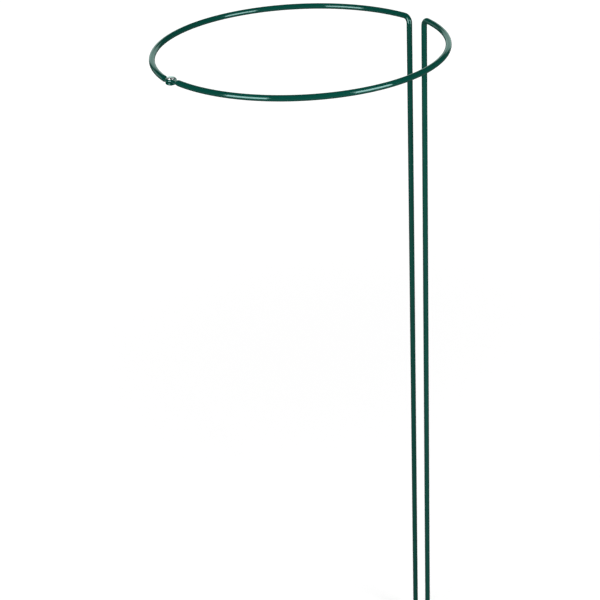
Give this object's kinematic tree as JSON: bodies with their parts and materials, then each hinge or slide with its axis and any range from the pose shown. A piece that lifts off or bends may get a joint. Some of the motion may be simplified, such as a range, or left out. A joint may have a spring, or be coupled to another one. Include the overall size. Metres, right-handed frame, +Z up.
{
  "type": "hinged plant support ring",
  "caption": "Round plant support of green coated wire on two long legs, with half rings that swing open on a riveted hinge.",
  "frame": {"origin": "on the ring's axis, at the height of the back leg's tip", "axes": "+Z up along the legs and the ring's axis, +Y from the hinge towards the legs, +X towards the front half"},
  "size_m": [0.3, 0.3021, 0.7999],
  "materials": {
    "steel_wire": "drawn",
    "green_coat": "smooth gloss",
    "rivet_metal": "bright"
  },
  "bodies": {
    "back_half": {"back_core": "steel_wire", "back_coat": "green_coat", "hinge_rivet": "rivet_metal"},
    "front_half": {"front_core": "steel_wire", "front_coat": "green_coat"}
  },
  "joints": [
    {"name": "ring_hinge", "type": "hinge", "parent": "back_half", "child": "front_half", "pos_m": [0, -0.147, 0.7954], "axis": [0, 0, -1], "range_deg": [-3.6, 155]}
  ]
}
